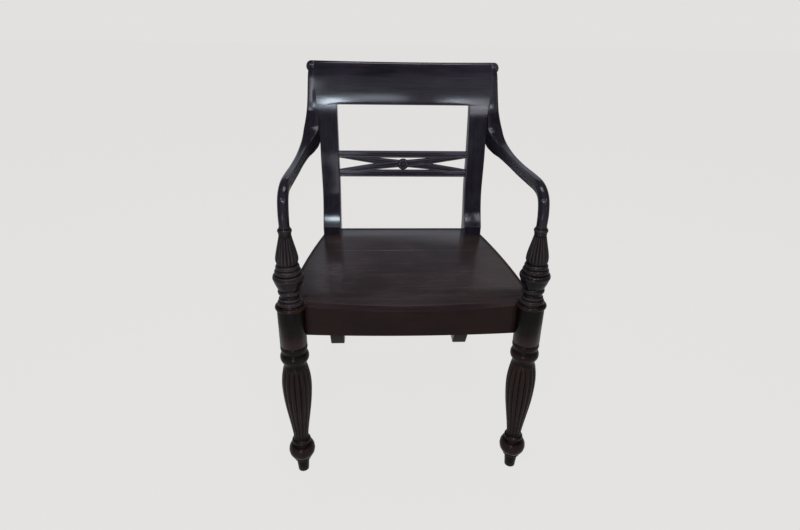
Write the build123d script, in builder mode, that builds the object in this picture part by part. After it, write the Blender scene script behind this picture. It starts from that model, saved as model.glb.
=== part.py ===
from build123d import *
import os
from math import cos, pi, radians, sin, sqrt

# Open armchair with a scroll back, swept arms, a board seat and reeded turned legs.
# Millimetres. +X right as seen from the front, +Y to the back, +Z up, floor at Z = 0.
# Depths (d) are counted backwards from the axis of the turned front posts.

# Front posts
POST_X = 254.9
BLOCK_R = 29.0
CAP_R = 32.5
CAP_TOP = 462.5
SUPPORT_TOP = 629.0
LEG_REEDS = 16
SUPPORT_REEDS = 18
REED_DEPTH = 0.085          # valley depth as a share of the radius
SOCKET_R = 8.0              # arm support's lower spigot
SOCKET_DEPTH = 28.0
SPIGOT_R = 5.5              # arm support's upper spigot
SPIGOT_LENGTH = 26.0

# Seat frame
SEAT_TOP = 449.0
RAIL_LOW = 388.5
FRONT_RAIL_MID = 390.0       # lower edge of the arched front rail on the centre line
FRONT_RAIL_END = 377.2       # and at its ends
BOARD_T = 16.0
LEDGE = SEAT_TOP - BOARD_T
FRONT_BOW_R = 1120.0
FRONT_MID = -21.8           # depth of the bowed front face on the centre line
FRONT_STRIP = 24.0
FRONT_RAIL_T = 36.0
SIDE_RAIL_T = 26.0
SIDE_LIP = 8.0
BACK_EDGE = 472.0
BACK_RAIL_T = 32.0
BACK_STRIP = 14.0
TENON_LOW = 396.0
TENON_HIGH = 430.0
TENON_T = 10.0
BOARD_SPLITS = (155.0, 305.0)
TONGUE = 6.0
TONGUE_T = 5.0
BEARER_W = 50.0
BEARER_LOW = 413.0
BEARER_HOUSING = 8.0
CORNER_LOW = 396.0

# Back legs and uprights
BLOCK_FRONT = 420.0
BLOCK_TOP = 472.0
BACK_FOOT = (548.0, 588.0)
SWEEP_R = 600.0             # front face of the upright above SWEEP_LOW
SWEEP_LOW = 600.0
SWEEP_FRONT = 460.0
UPRIGHT_TOP = 795.0
UPRIGHT_INNER = ((0, 184.5), (388.5, 174.5), (600, 175.5), (720, 178), (795, 180))
UPRIGHT_OUTER = (
    (795, 232.2), (770, 229.8), (740, 228), (704, 226.5), (660, 226), (560, 224), (449, 223.5), (388.5, 224), (0, 230),
)
TOP_TENON = (25.0, 10.0, 27.0)

# Crest rail
ROLL_Z = 887.0
ROLL_R = 15.0
ROLL_HALF = 249.0
ROLL_END = 262.6
CREST_END = 241.0           # half the body's length under the roll
FLARE_TOP = 868.0
FACE_TOP = SWEEP_LOW + (ROLL_Z - SWEEP_LOW) * SWEEP_R / (SWEEP_R - ROLL_R)
TUCK = 0.36                 # how far round the roll its underside runs into the back, radians
CREST_BACK = 521.0

# Splat
SPLAT_FRONT = 467.0
SPLAT_T = 14.0
SPLAT_MID = 640.5
SPLAT_HALF_GAP = 18.4       # from the middle to the near edge of a cross rail
SPLAT_RAIL_H = 16.4
SPLAT_TENON = 18.0
SPLAT_TENON_H = 12.0
BEAD_LINE = 4.2             # height of a rail's quirk above its lower edge
BAR_HALF = 6.0              # half the height of a diagonal bar, measured upright
BAR_RISE = ((88, 9.7), (178, 24))
BAR_QUIRK = (3.0, 4.0)      # groove beside each edge bead, from the bar's middle line
QUIRK_DEPTH = 1.3
ROSETTE_R = 15.2
ROSETTE_PETALS = 8
ROSETTE_SPIGOT_R = 4.0

# Arms: depth, height, distance from the centre line, width and thickness, from the crest down
ARM_STATIONS = (
    (547, 888, 244.5, 18, 13),
    (537, 872, 245, 24, 18),
    (523, 840, 242.5, 31, 20.5),
    (508.5, 800, 242.5, 33.5, 25.5),
    (496, 765, 244.2, 36, 32),
    (467, 724, 246.7, 41, 44),
    (430, 706, 252.5, 31.5, 38),
    (380, 697.5, 257.3, 23.5, 31),
    (300, 692, 259.5, 18.5, 26.5),
    (200, 692, 259, 18, 25),
    (110, 696, 257.7, 19, 25),
    (48, 696.5, 256.4, 20.5, 25),
    (13, 684, 255.4, 22, 24.5),
    (0, 657, 254.9, 22, 23),
    (0, SUPPORT_TOP, 254.9, 21, 21),
)
ARM_DOWELS = ((502, 772), (484, 732))
DOWEL_R = 4.0

# The roll runs on from the swept front face without a step.
ROLL_D = SWEEP_FRONT + SWEEP_R - sqrt((SWEEP_R - ROLL_R) ** 2 - (ROLL_Z - SWEEP_LOW) ** 2)

# The box of the whole chair is centred on the origin in depth.
POST_Y = -(BACK_FOOT[1] - CAP_R) / 2

os.makedirs("parts", exist_ok=True)


def behind(depth):
    """Y of a point that lies the given depth behind the front posts' axis."""
    return POST_Y + depth


def face(height):
    """Depth of the uprights' swept front face."""
    return SWEEP_FRONT + SWEEP_R - sqrt(SWEEP_R**2 - (height - SWEEP_LOW) ** 2)


def profile(*points):
    """Side-view points (depth, height) as sketch points on Plane.YZ."""
    return [(behind(depth), height) for depth, height in points]


def save(solid, name):
    solid.label = name
    export_step(solid, f"parts/{name}.step")


def save_pair(right, name):
    save(right, f"{name}_right")
    save(mirror(right, about=Plane.YZ), f"{name}_left")


def turned_outline(start, steps):
    """Half outline from the axis out, along the steps and back to the axis. One point is a line, two an arc."""
    Line((0, start[1]), start)
    here = start
    for *via, end in steps:
        if via:
            ThreePointArc(here, via[0], end)
        else:
            Line(here, end)
        here = end
    Line(here, (0, here[1]))
    Line((0, here[1]), (0, start[1]))


def reed_ring(radius, count):
    """Closed outline of rounded reeds side by side round a shaft."""
    valley = radius * (1 - REED_DEPTH)
    for i in range(count):
        start, mid, end = (2 * pi * (i + share) / count for share in (0, 0.5, 1))
        ThreePointArc(
            (valley * cos(start), valley * sin(start)),
            (radius * cos(mid), radius * sin(mid)),
            (valley * cos(end), valley * sin(end)),
        )


def reeded_shaft(sections, count):
    """Shaft on the right front post's axis, lofted through (height, radius) sections."""
    with BuildPart() as shaft:
        for height, radius in sections:
            with BuildSketch(Plane((POST_X, POST_Y, height))):
                with BuildLine():
                    reed_ring(radius, count)
                make_face()
        loft()
    return shaft.part


post_plane = Plane((POST_X, POST_Y, 0), x_dir=(1, 0, 0), z_dir=(0, -1, 0))
post_axis = Axis((POST_X, POST_Y, 0), (0, 0, 1))

# Front legs
FOOT_STEPS = (
    [(15, 34)],
    [(19, 36.5)],
    [(20.2, 39.5), (19.2, 42.5)],
    [(30.5, 64), (20.5, 86.5)],
    [(22, 92), (18, 98)],
)
LEG_SHAFT = (
    (98, 16.6), (112, 17.6), (136, 20.6), (166, 25), (200, 29.6),
    (232, 32.3), (258, 32.8), (280, 31), (298, 27.8), (306, 26.2),
)
BLOCK_STEPS = (
    [(25, 312), (27, 318.5)],
    [(28, 319)],
    [(31.4, 330), (27.5, 341)],
    [(26.8, 344.5)],
    [(29.3, 352), (28.2, 360)],
    [(BLOCK_R, 361)],
    [(BLOCK_R, SEAT_TOP + 0.2)],
    [(31.6, 450.5)],
    [(CAP_R, 454), (30, 458)],
    [(27.6, 459.6), (26.5, CAP_TOP)],
)

leg_shaft = reeded_shaft(LEG_SHAFT, LEG_REEDS)

with BuildPart() as front_leg:
    with BuildSketch(post_plane):
        with BuildLine():
            turned_outline((12.5, 0), FOOT_STEPS)
        make_face()
    revolve(axis=post_axis)
    with BuildSketch(post_plane):
        with BuildLine():
            turned_outline((25.6, 306), BLOCK_STEPS)
        make_face()
    revolve(axis=post_axis)
    add(leg_shaft)
    with Locations((POST_X, POST_Y, CAP_TOP)):
        Cylinder(SOCKET_R, SOCKET_DEPTH, align=(Align.CENTER, Align.CENTER, Align.MAX), mode=Mode.SUBTRACT)

# Tenons of the front and side rails inside the block: x, depth, and size
FRONT_TENON_X = (POST_X - 34, POST_X - 8)
FRONT_TENON_D = (5, 15)
SIDE_TENON_X = (POST_X - TENON_T / 2, POST_X + TENON_T / 2)
SIDE_TENON_D = (8, 34)
REAR_TENON_X = (203, 213)
REAR_TENON_D = (410, 448)
BACK_TENON_X = (165, 194.5)
BACK_TENON_D = (448, 458)


def tenon(x_span, d_span, low=TENON_LOW, high=TENON_HIGH):
    """Plain rectangular tenon between two x values, two depths and two heights."""
    width, depth = x_span[1] - x_span[0], d_span[1] - d_span[0]
    corner = Pos(x_span[0], behind(d_span[0]), low)
    return corner * Box(width, depth, high - low, align=Align.MIN)


front_tenon = tenon(FRONT_TENON_X, FRONT_TENON_D)
side_tenon = tenon(SIDE_TENON_X, SIDE_TENON_D)
rear_tenon = tenon(REAR_TENON_X, REAR_TENON_D)
back_tenon = tenon(BACK_TENON_X, BACK_TENON_D)

with BuildPart() as front_leg_right:
    add(front_leg.part)
    add(front_tenon, mode=Mode.SUBTRACT)
    add(side_tenon, mode=Mode.SUBTRACT)
save_pair(front_leg_right.part, "front_leg")

# Arm supports
CUP_STEPS = (
    [(25.2, 467), (21.5, 469.5)],
    [(20.8, 470)],
    [(23, 473), (20.8, 476)],
    [(19.8, 479.5), (21.2, 483.5)],
    [(24, 489), (21.8, 494.5)],
    [(26.8, 505), (31, 518)],
    [(31.8, 519)],
    [(31.8, 523.5), (29.5, 528)],
    [(26, 529.5)],
    [(27.3, 534.5), (24.2, 540)],
    [(23.4, 540.5)],
    [(24.3, 545), (20.5, 550.5)],
    [(20.5, 551)],
)
SUPPORT_SHAFT = ((551, 20.6), (557, 22.8), (564, 23), (577, 20.6), (592, 17), (605, 13.9), (613, 12.3))
BEAD_STEPS = (
    [(12.9, 615), (12, 617)],
    [(14.4, 621.5), (11.4, 626.5)],
    [(11.2, SUPPORT_TOP)],
)

support_shaft = reeded_shaft(SUPPORT_SHAFT, SUPPORT_REEDS)

with BuildPart() as arm_support:
    with BuildSketch(post_plane):
        with BuildLine():
            turned_outline((26, CAP_TOP), CUP_STEPS)
        make_face()
    revolve(axis=post_axis)
    with BuildSketch(post_plane):
        with BuildLine():
            turned_outline((12.2, 613), BEAD_STEPS)
        make_face()
    revolve(axis=post_axis)
    add(support_shaft)
    with Locations((POST_X, POST_Y, CAP_TOP)):
        Cylinder(SOCKET_R, SOCKET_DEPTH, align=(Align.CENTER, Align.CENTER, Align.MAX))
    with Locations((POST_X, POST_Y, SUPPORT_TOP)):
        Cylinder(SPIGOT_R, SPIGOT_LENGTH, align=(Align.CENTER, Align.CENTER, Align.MIN))
save_pair(arm_support.part, "arm_support")

# Back legs
top_tenon = Pos(203, behind(508), UPRIGHT_TOP) * Box(*TOP_TENON, align=(Align.CENTER, Align.CENTER, Align.MIN))
tenon_inset = (SPLAT_RAIL_H - SPLAT_TENON_H) / 2
upper_low = SPLAT_MID + SPLAT_HALF_GAP
lower_low = SPLAT_MID - SPLAT_HALF_GAP - SPLAT_RAIL_H
splat_tenons = [
    tenon((170, 178 + SPLAT_TENON), (SPLAT_FRONT + 3, SPLAT_FRONT + 11), low, low + SPLAT_TENON_H)
    for low in (upper_low + tenon_inset, lower_low + tenon_inset)
]

with BuildPart() as back_leg_right:
    with BuildSketch(Plane.YZ):
        with BuildLine():
            foot_front, foot_back, seat_back, bend_back, upright_back, top_back, top_front = profile(
                (BACK_FOOT[0], 0), (BACK_FOOT[1], 0), (472, 400), (472, 455), (493, SWEEP_LOW),
                (CREST_BACK, UPRIGHT_TOP), (face(UPRIGHT_TOP), UPRIGHT_TOP),
            )
            upright_front, shelf, block_low = profile(
                (SWEEP_FRONT, SWEEP_LOW), (BLOCK_FRONT, BLOCK_TOP), (BLOCK_FRONT, RAIL_LOW),
            )
            Line(foot_front, foot_back)
            TangentArc(seat_back, foot_back, tangent=(0, -1))
            Line(seat_back, bend_back)
            Bezier(bend_back, *profile((472, 515), (493, 545)), upright_back)
            TangentArc(upright_back, top_back, tangent=(0, 1))
            Line(top_back, top_front)
            TangentArc(upright_front, top_front, tangent=(0, 1))
            TangentArc(upright_front, shelf, tangent=(0, -1))
            Line(shelf, block_low)
            TangentArc(block_low, foot_front, tangent=(0, -1))
        make_face()
    extrude(amount=ROLL_END)
    with BuildSketch(Plane.XZ):
        with BuildLine():
            Polyline([(x, z) for z, x in UPRIGHT_INNER + UPRIGHT_OUTER], close=True)
        make_face()
    extrude(amount=BACK_FOOT[1], both=True, mode=Mode.INTERSECT)
    add(top_tenon)
    add([rear_tenon, back_tenon, *splat_tenons], mode=Mode.SUBTRACT)
    for depth, height in ARM_DOWELS:
        with Locations(Plane((227, behind(depth), height), x_dir=(0, 1, 0), z_dir=(1, 0, 0))):
            Cylinder(DOWEL_R, 40, mode=Mode.SUBTRACT)
save_pair(back_leg_right.part, "back_leg")
back_leg_left = mirror(back_leg_right.part, about=Plane.YZ)

# Crest rail
roll_top = ROLL_Z + ROLL_R

with BuildPart() as back_outline:
    with BuildSketch(Plane.XZ):
        with BuildLine():
            for side in (-1, 1):
                edge = [(side * x, height) for height, x in UPRIGHT_OUTER if height > SWEEP_LOW]
                Polyline(edge)
                ThreePointArc(edge[0], (side * 237.2, 830), (side * CREST_END, FLARE_TOP))
                Line((side * CREST_END, FLARE_TOP), (side * CREST_END, roll_top))
            Line((-edge[-1][0], edge[-1][1]), edge[-1])
            Line((-CREST_END, roll_top), (CREST_END, roll_top))
        make_face()
    extrude(amount=BACK_FOOT[1], both=True)

with BuildPart() as roll_end:
    with BuildSketch(Plane((0, behind(ROLL_D), ROLL_Z))):
        with BuildLine():
            Polyline((ROLL_END, 0), (CREST_END, 0), (CREST_END, ROLL_R), (ROLL_HALF, ROLL_R))
            TangentArc((ROLL_END, 0), (ROLL_HALF, ROLL_R), tangent=(0, 1))
        make_face()
    revolve(axis=Axis((0, behind(ROLL_D), ROLL_Z), (1, 0, 0)))

with BuildPart() as crest_rail:
    with BuildSketch(Plane.YZ):
        with BuildLine():
            low_front, mid_front, low_back, mid_back, high_back = profile(
                (face(UPRIGHT_TOP), UPRIGHT_TOP), (face(845), 845),
                (CREST_BACK, UPRIGHT_TOP), (530.5, 829), (540.3, 862),
            )
            roll_front, over, tuck, tuck_mid = profile(
                (face(FACE_TOP), FACE_TOP), (ROLL_D + ROLL_R * cos(0.6), ROLL_Z + ROLL_R * sin(0.6)),
                (ROLL_D - ROLL_R * sin(TUCK), ROLL_Z - ROLL_R * cos(TUCK)), (541.9, 868),
            )
            Line(low_back, low_front)
            ThreePointArc(low_front, mid_front, roll_front)
            ThreePointArc(roll_front, over, tuck)
            ThreePointArc(tuck, tuck_mid, high_back)
            ThreePointArc(high_back, mid_back, low_back)
        make_face()
    extrude(amount=ROLL_END, both=True)
    add(back_outline.part, mode=Mode.INTERSECT)
    add([roll_end.part, mirror(roll_end.part, about=Plane.YZ)])
    add([top_tenon, mirror(top_tenon, about=Plane.YZ)], mode=Mode.SUBTRACT)
save(crest_rail.part, "crest_rail")

# Arms
def station_plane(index):
    """Plane across the arm at one of its stations."""
    before = ARM_STATIONS[max(index - 1, 0)]
    after = ARM_STATIONS[min(index + 1, len(ARM_STATIONS) - 1)]
    along = Vector(after[2] - before[2], after[0] - before[0], after[1] - before[1]).normalized()
    if index == len(ARM_STATIONS) - 1:
        along = Vector(0, 0, -1)
    across = (Vector(1, 0, 0) - along * along.X).normalized()
    depth, height, x, *_ = ARM_STATIONS[index]
    return Plane((x, behind(depth), height), x_dir=across, z_dir=along)


with BuildPart() as arm_right:
    for index, (_, _, _, width, thickness) in enumerate(ARM_STATIONS):
        with BuildSketch(station_plane(index)):
            RectangleRounded(width, thickness, min(thickness / 2 - 0.5, 5.5 if index < 12 else 8))
    loft()
    add([back_outline.part, roll_end.part], mode=Mode.SUBTRACT)
    with Locations((POST_X, POST_Y, SUPPORT_TOP)):
        Cylinder(SPIGOT_R, SPIGOT_LENGTH, align=(Align.CENTER, Align.CENTER, Align.MIN), mode=Mode.SUBTRACT)
    for depth, height in ARM_DOWELS:
        with Locations(Plane((227, behind(depth), height), x_dir=(0, 1, 0), z_dir=(1, 0, 0))):
            Cylinder(DOWEL_R, 40, mode=Mode.SUBTRACT)
save_pair(arm_right.part, "arm")

with BuildPart() as arm_dowels:
    for side in (-1, 1):
        for depth, height in ARM_DOWELS:
            with Locations(Plane((side * 227, behind(depth), height), x_dir=(0, 1, 0), z_dir=(1, 0, 0))):
                Cylinder(DOWEL_R, 40)
save(arm_dowels.part, "arm_dowels")

# Splat
def bar(side, front, thickness, low=-BAR_HALF, high=BAR_HALF):
    """Curved diagonal between the cross rails, or a strip along it; side +1 rises to the right."""
    mid, end = BAR_RISE
    with BuildPart() as strip:
        with BuildSketch(Plane((0, behind(front), 0), x_dir=(1, 0, 0), z_dir=(0, -1, 0))):
            with BuildLine():
                for shift in (low, high):
                    centre = SPLAT_MID + shift
                    for way in (-1, 1):
                        rise = way * side
                        middle, tip = ((way * x, centre + rise * z) for x, z in (mid, end))
                        ThreePointArc((0, centre), middle, tip)
                for way in (-1, 1):
                    level = SPLAT_MID + way * side * end[1]
                    Line((way * end[0], level + low), (way * end[0], level + high))
            make_face()
        extrude(amount=-thickness)
    return strip.part


def quirks(side, front):
    """Grooves that set off a bead along both edges of a diagonal."""
    near, far = BAR_QUIRK
    return [bar(side, front, QUIRK_DEPTH, low, high) for low, high in ((near, far), (-far, -near))]


def splat_rail(low):
    """Cross rail between the uprights with a stub tenon at each end."""
    with BuildPart() as rail:
        with Locations((0, behind(SPLAT_FRONT), low)):
            Box(360, SPLAT_T, SPLAT_RAIL_H, align=(Align.CENTER, Align.MIN, Align.MIN))
        add([back_leg_right.part, back_leg_left], mode=Mode.SUBTRACT)
        with Locations(Plane((0, behind(SPLAT_FRONT), low + BEAD_LINE), x_dir=(0, 1, 0), z_dir=(1, 0, 0))):
            Cylinder(QUIRK_DEPTH, 360, mode=Mode.SUBTRACT)
        with Locations((0, behind(SPLAT_FRONT + 3), low + tenon_inset)):
            Box(2 * (178 + SPLAT_TENON), 8, SPLAT_TENON_H, align=(Align.CENTER, Align.MIN, Align.MIN))
    return rail.part


splat_rail_upper = splat_rail(upper_low)
splat_rail_lower = splat_rail(lower_low)
save(splat_rail_upper, "splat_rail_upper")
save(splat_rail_lower, "splat_rail_lower")

rosette_plane = Plane((0, behind(SPLAT_FRONT), SPLAT_MID), x_dir=(1, 0, 0), z_dir=(0, -1, 0))

with BuildPart() as splat_gap:
    with Locations((0, behind(SPLAT_FRONT), SPLAT_MID)):
        Box(360, SPLAT_T, 2 * SPLAT_HALF_GAP, align=(Align.CENTER, Align.MIN, Align.CENTER))
    add([back_leg_right.part, back_leg_left], mode=Mode.SUBTRACT)

with BuildPart() as splat_diagonal_rising:
    add(bar(1, SPLAT_FRONT, SPLAT_T))
    add(bar(-1, SPLAT_FRONT + SPLAT_T / 2, SPLAT_T / 2), mode=Mode.SUBTRACT)
    add(quirks(1, SPLAT_FRONT), mode=Mode.SUBTRACT)
    add(splat_gap.part, mode=Mode.INTERSECT)
    with Locations(rosette_plane):
        Cylinder(ROSETTE_SPIGOT_R, 20, mode=Mode.SUBTRACT)
save(splat_diagonal_rising.part, "splat_diagonal_rising")

with BuildPart() as splat_diagonal_falling:
    add(bar(-1, SPLAT_FRONT, SPLAT_T))
    add(bar(1, SPLAT_FRONT, SPLAT_T / 2), mode=Mode.SUBTRACT)
    add(quirks(-1, SPLAT_FRONT), mode=Mode.SUBTRACT)
    add(splat_gap.part, mode=Mode.INTERSECT)
    with Locations(rosette_plane):
        Cylinder(ROSETTE_SPIGOT_R, 20, mode=Mode.SUBTRACT)
save(splat_diagonal_falling.part, "splat_diagonal_falling")

with BuildPart() as splat_rosette:
    with BuildSketch(Plane((0, behind(SPLAT_FRONT), SPLAT_MID))):
        with BuildLine():
            Polyline((0, 10), (ROSETTE_SPIGOT_R, 10), (ROSETTE_SPIGOT_R, 0), (ROSETTE_R, 0), (ROSETTE_R, -1.5))
            ThreePointArc((ROSETTE_R, -1.5), (12.5, -6.2), (6, -7))
            TangentArc((0, -10.5), (6, -7), tangent=(1, 0))
            Line((0, -10.5), (0, 10))
        make_face()
    revolve(axis=Axis((0, behind(SPLAT_FRONT), SPLAT_MID), (0, 1, 0)))
    for i in range(ROSETTE_PETALS):
        turn = radians(360 * i / ROSETTE_PETALS)
        out = Vector(cos(turn), 0, sin(turn))
        with BuildSketch(Plane(Vector(0, behind(SPLAT_FRONT - 8), SPLAT_MID) + out * 6.8, z_dir=out)):
            Circle(2)
        extrude(amount=ROSETTE_R, mode=Mode.SUBTRACT)
save(splat_rosette.part, "splat_rosette")

# Seat frame
def front_arc(inset, half):
    """Ends and middle of an arc parallel to the bowed front face, set back by inset."""
    radius = FRONT_BOW_R - inset
    centre = FRONT_MID + FRONT_BOW_R
    end = behind(centre - sqrt(radius**2 - half**2))
    return (-half, end), (0, behind(centre - radius)), (half, end)


SIDE_ARC = ((270, 20), (254.8, 220), (223.5, BLOCK_FRONT))
FRONT_HALF = SIDE_ARC[0][0] - SIDE_LIP


def side_arc(inset):
    """Points of the right side rail's outer curve moved inwards."""
    return [(x - inset, behind(depth)) for x, depth in SIDE_ARC]


with BuildPart() as post_cutter:
    for side in (-1, 1):
        with Locations((side * POST_X, POST_Y, 0)):
            Cylinder(BLOCK_R, CAP_TOP, align=(Align.CENTER, Align.CENTER, Align.MIN))

with BuildPart() as side_rail_right:
    for low, high, thickness in ((RAIL_LOW, LEDGE, SIDE_RAIL_T), (LEDGE, SEAT_TOP, SIDE_LIP)):
        with BuildSketch(Plane.XY.offset(low)):
            with BuildLine():
                ThreePointArc(*side_arc(0))
                ThreePointArc(*side_arc(thickness))
                Line(side_arc(0)[0], side_arc(thickness)[0])
                Line(side_arc(0)[2], side_arc(thickness)[2])
            make_face()
        extrude(amount=high - low)
    add(post_cutter.part, mode=Mode.SUBTRACT)
    add(side_tenon)
    add(rear_tenon)
save_pair(side_rail_right.part, "side_rail")
side_rail_left = mirror(side_rail_right.part, about=Plane.YZ)

with BuildPart() as front_rail:
    for low, high, thickness, half in (
        (FRONT_RAIL_END, LEDGE, FRONT_RAIL_T, SIDE_ARC[0][0] - SIDE_RAIL_T),
        (LEDGE, SEAT_TOP, FRONT_STRIP, FRONT_HALF),
    ):
        with BuildSketch(Plane.XY.offset(low)):
            with BuildLine():
                outer = front_arc(0, half)
                inner = front_arc(thickness, half)
                ThreePointArc(*outer)
                ThreePointArc(*inner)
                Line(outer[0], inner[0])
                Line(outer[2], inner[2])
            make_face()
        extrude(amount=high - low)
    with BuildSketch(Plane.XZ):
        with BuildLine():
            low_left, low_mid, low_right = (
                (-FRONT_HALF, FRONT_RAIL_END), (0, FRONT_RAIL_MID), (FRONT_HALF, FRONT_RAIL_END),
            )
            ThreePointArc(low_left, low_mid, low_right)
            Line(low_left, low_right)
        make_face()
    extrude(amount=BACK_FOOT[1], both=True, mode=Mode.SUBTRACT)
    add([post_cutter.part, side_rail_right.part, side_rail_left], mode=Mode.SUBTRACT)
    add([front_tenon, mirror(front_tenon, about=Plane.YZ)])
    with Locations((0, behind(FRONT_MID + FRONT_RAIL_T - BEARER_HOUSING), BEARER_LOW)):
        Box(BEARER_W, 20, LEDGE - BEARER_LOW, align=(Align.CENTER, Align.MIN, Align.MIN), mode=Mode.SUBTRACT)
save(front_rail.part, "front_rail")

with BuildPart() as back_rail:
    for low, high, thickness in ((RAIL_LOW, LEDGE, BACK_RAIL_T), (LEDGE, SEAT_TOP, BACK_STRIP)):
        with BuildSketch(Plane.XY.offset(low)):
            with Locations((0, behind(BACK_EDGE))):
                Rectangle(360, thickness, align=(Align.CENTER, Align.MAX))
        extrude(amount=high - low)
    add([back_leg_right.part, back_leg_left], mode=Mode.SUBTRACT)
    add([back_tenon, mirror(back_tenon, about=Plane.YZ)])
    with Locations((0, behind(BACK_EDGE - BACK_RAIL_T + BEARER_HOUSING), BEARER_LOW)):
        Box(BEARER_W, 20, LEDGE - BEARER_LOW, align=(Align.CENTER, Align.MAX, Align.MIN), mode=Mode.SUBTRACT)
save(back_rail.part, "back_rail")

# Seat boards
SCREW_DEPTHS = (60, 110, 205, 255, 355, 405)
SCREW_SHANK_R = 2.0
SCREW_HEAD_R = 4.0
SCREW_LENGTH = 30.0
SCREW_HEAD_H = 3.0


def screw(depth):
    """Countersunk screw driven up through the bearer."""
    place = Pos(0, behind(depth), BEARER_LOW)
    head = Pos(0, 0, SCREW_HEAD_H / 2) * Cone(SCREW_HEAD_R, SCREW_SHANK_R, SCREW_HEAD_H)
    shank = Cylinder(SCREW_SHANK_R, SCREW_LENGTH, align=(Align.CENTER, Align.CENTER, Align.MIN))
    return place * (head + shank)


screws = [screw(depth) for depth in SCREW_DEPTHS]

with BuildPart() as seat_panel:
    with BuildSketch(Plane.XY.offset(LEDGE)):
        rear = behind(BACK_EDGE - BACK_STRIP)
        with BuildLine():
            front = front_arc(FRONT_STRIP, FRONT_HALF)
            ThreePointArc(*front)
            Polyline(front[0], (-FRONT_HALF, rear), (FRONT_HALF, rear), front[2])
        make_face()
        with BuildLine():
            for side in (-1, 1):
                near, middle, far = ((side * x, y) for x, y in side_arc(SIDE_LIP))
                ThreePointArc(near, middle, far)
                Polyline(near, (near[0], behind(FRONT_MID)), (0, behind(FRONT_MID)))
                Polyline(far, (far[0], rear), (0, rear))
        make_face(mode=Mode.INTERSECT)
    extrude(amount=BOARD_T)
    add([post_cutter.part, back_leg_right.part, back_leg_left], mode=Mode.SUBTRACT)


def seat_board(start, end):
    """Part of the seat between two depths, with a tongue behind and a groove in front where it meets another."""
    with BuildPart() as board:
        with Locations((0, behind(start), LEDGE)):
            Box(700, end - start, BOARD_T, align=(Align.CENTER, Align.MIN, Align.MIN))
        for split, mode in ((start, Mode.SUBTRACT), (end, Mode.ADD)):
            if split in BOARD_SPLITS:
                with Locations((0, behind(split), LEDGE + BOARD_T / 2)):
                    Box(700, TONGUE, TONGUE_T, align=(Align.CENTER, Align.MIN, Align.CENTER), mode=mode)
        add(seat_panel.part, mode=Mode.INTERSECT)
        add(screws, mode=Mode.SUBTRACT)
    return board.part


board_edges = (-40.0, *BOARD_SPLITS, 500.0)
for name, start, end in zip(("front", "middle", "back"), board_edges, board_edges[1:]):
    save(seat_board(start, end), f"seat_board_{name}")

with BuildPart() as seat_bearer:
    near = behind(FRONT_MID + FRONT_RAIL_T - BEARER_HOUSING)
    far = behind(BACK_EDGE - BACK_RAIL_T + BEARER_HOUSING)
    with Locations((0, near, BEARER_LOW)):
        Box(BEARER_W, far - near, LEDGE - BEARER_LOW, align=(Align.CENTER, Align.MIN, Align.MIN))
    add(screws, mode=Mode.SUBTRACT)
save(seat_bearer.part, "seat_bearer")

seat_screws = Compound(children=[screw(depth) for depth in SCREW_DEPTHS])
save(seat_screws, "seat_screws")

# Corner blocks
CORNERS = {
    "front": ((250, 30), (250, 100), (165, 20)),
    "back": ((215, 350), (215, 440), (112, 440)),
}

for name, corners in CORNERS.items():
    with BuildPart() as corner_block:
        with BuildSketch(Plane.XY.offset(CORNER_LOW)):
            with BuildLine():
                Polyline([(x, behind(depth)) for x, depth in corners], close=True)
            make_face()
        extrude(amount=LEDGE - CORNER_LOW)
        add([front_rail.part, side_rail_right.part, back_rail.part], mode=Mode.SUBTRACT)
        add([post_cutter.part, back_leg_right.part], mode=Mode.SUBTRACT)
    save_pair(corner_block.part, f"corner_block_{name}")
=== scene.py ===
import math
import bmesh
import bpy
from mathutils import Matrix, Vector


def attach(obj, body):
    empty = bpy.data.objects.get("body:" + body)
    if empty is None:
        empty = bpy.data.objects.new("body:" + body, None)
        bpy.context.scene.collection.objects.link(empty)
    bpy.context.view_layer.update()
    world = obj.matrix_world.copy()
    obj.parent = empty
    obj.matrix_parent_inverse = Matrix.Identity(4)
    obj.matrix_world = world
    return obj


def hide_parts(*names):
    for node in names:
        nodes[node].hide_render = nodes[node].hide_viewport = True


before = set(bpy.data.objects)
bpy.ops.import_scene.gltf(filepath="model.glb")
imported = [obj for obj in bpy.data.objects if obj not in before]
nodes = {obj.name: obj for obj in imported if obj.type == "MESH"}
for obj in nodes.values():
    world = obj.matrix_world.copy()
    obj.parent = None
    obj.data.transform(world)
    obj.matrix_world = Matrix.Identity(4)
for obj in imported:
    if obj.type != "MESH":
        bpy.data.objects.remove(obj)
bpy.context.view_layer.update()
mm = 0.001
print("frame loaded,", len(nodes), "nodes")

# camera
cameraSettings = {
    "place": (-0.075, -1.24395, 0.9894),
    "turn": 2.8415,      # degrees towards +X
    "down": 24.6241,     # degrees below level
    "roll": -0.9516,
    "focalPixels": 521.5691,
    "frameWidth": 800,
    "frameHeight": 530,
    "centreY": 265.05,
    "sensorWidth": 36,
}


def addCamera(s):
    yaw, down, roll = (math.radians(s[k]) for k in ("turn", "down", "roll"))
    forward = Vector((math.sin(yaw) * math.cos(down), math.cos(yaw) * math.cos(down), -math.sin(down)))
    right = Vector((math.cos(yaw), -math.sin(yaw), 0))
    below = forward.cross(right)
    rightRolled = right * math.cos(roll) + below * math.sin(roll)
    belowRolled = below * math.cos(roll) - right * math.sin(roll)
    bpy.ops.object.camera_add()
    camera = bpy.context.object
    turn = Matrix((rightRolled, -belowRolled, -forward)).transposed()
    camera.matrix_world = Matrix.Translation(s["place"]) @ turn.to_4x4()
    camera.data.sensor_fit = "HORIZONTAL"
    camera.data.sensor_width = s["sensorWidth"]
    camera.data.lens = s["focalPixels"] / s["frameWidth"] * s["sensorWidth"]
    camera.data.shift_y = (s["centreY"] - s["frameHeight"] / 2) / s["frameWidth"]
    camera.data.dof.use_dof = False
    camera.data.clip_start = 0.01
    bpy.context.scene.camera = camera


addCamera(cameraSettings)

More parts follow.
